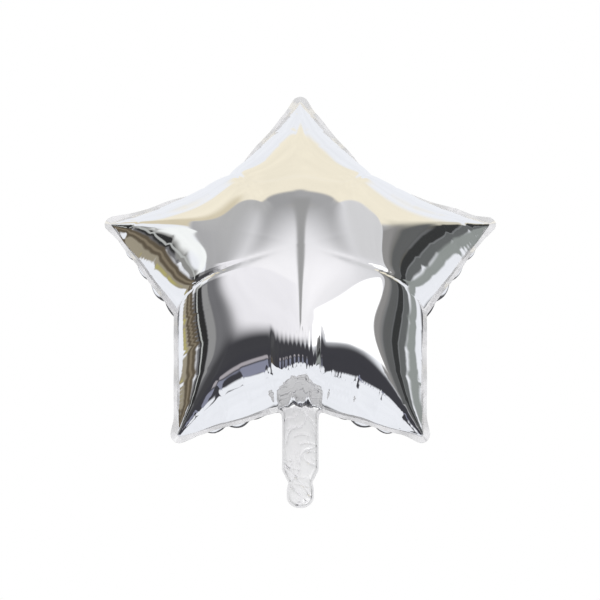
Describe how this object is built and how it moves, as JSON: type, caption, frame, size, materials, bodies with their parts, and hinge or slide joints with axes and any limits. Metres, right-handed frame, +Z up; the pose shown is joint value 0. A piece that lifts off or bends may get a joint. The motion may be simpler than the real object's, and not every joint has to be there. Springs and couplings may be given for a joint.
{
  "type": "foil balloon",
  "caption": "Inflated star-shaped foil balloon with a puckered welded rim, pleats over the inlet valve, a flat inlet neck and a rounded tie tab.",
  "frame": {"origin": "middle of the waist between the inlet neck and the tie tab, in the plane of the weld, where a string is tied", "axes": "+Z up from the tie to the top point of the star, +X across the star, the front of the balloon with the valve pleats faces -Y"},
  "size_m": [0.4002, 0.1828, 0.4469],
  "materials": {
    "silver_foil": "mirror-bright metallised film"
  },
  "bodies": {
    "root": {"star_balloon": "silver_foil"}
  },
  "joints": []
}
